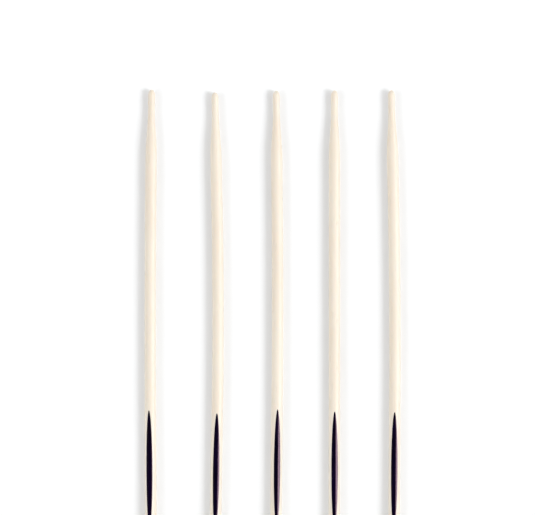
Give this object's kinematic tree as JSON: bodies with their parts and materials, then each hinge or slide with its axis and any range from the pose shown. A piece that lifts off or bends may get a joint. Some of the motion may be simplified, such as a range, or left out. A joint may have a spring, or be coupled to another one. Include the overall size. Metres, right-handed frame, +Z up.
{
  "type": "double-pointed knitting needle set",
  "caption": "Cream polymer knitting needles with a drop-shaped point at both ends and a dark oval size mark mid-shaft, laid side by side for knitting in the round.",
  "frame": {"origin": "on the surface the needles lie on, under the middle of the set", "axes": "+Y along the needles, +X across them from the first needle to the last, +Z up from the surface they lie on"},
  "size_m": [0.0678, 0.2007, 0.003],
  "materials": {
    "needle_polymer": "semi-gloss moulded, slightly translucent",
    "size_mark": "gloss"
  },
  "bodies": {
    "needle_1_body": {"needle_1": "needle_polymer", "size_mark_1": "size_mark"},
    "needle_2_body": {"needle_2": "needle_polymer", "size_mark_2": "size_mark"},
    "needle_3_body": {"needle_3": "needle_polymer", "size_mark_3": "size_mark"},
    "needle_4_body": {"needle_4": "needle_polymer", "size_mark_4": "size_mark"},
    "needle_5_body": {"needle_5": "needle_polymer", "size_mark_5": "size_mark"}
  },
  "joints": [
    {"name": "needle_1_lift", "type": "slide", "parent": "needle_3_body", "child": "needle_1_body", "axis": [0, 0, 1], "range_m": [0, 0.05]},
    {"name": "needle_2_lift", "type": "slide", "parent": "needle_3_body", "child": "needle_2_body", "axis": [0, 0, 1], "range_m": [0, 0.05]},
    {"name": "needle_4_lift", "type": "slide", "parent": "needle_3_body", "child": "needle_4_body", "axis": [0, 0, 1], "range_m": [0, 0.05]},
    {"name": "needle_5_lift", "type": "slide", "parent": "needle_3_body", "child": "needle_5_body", "axis": [0, 0, 1], "range_m": [0, 0.05]}
  ]
}
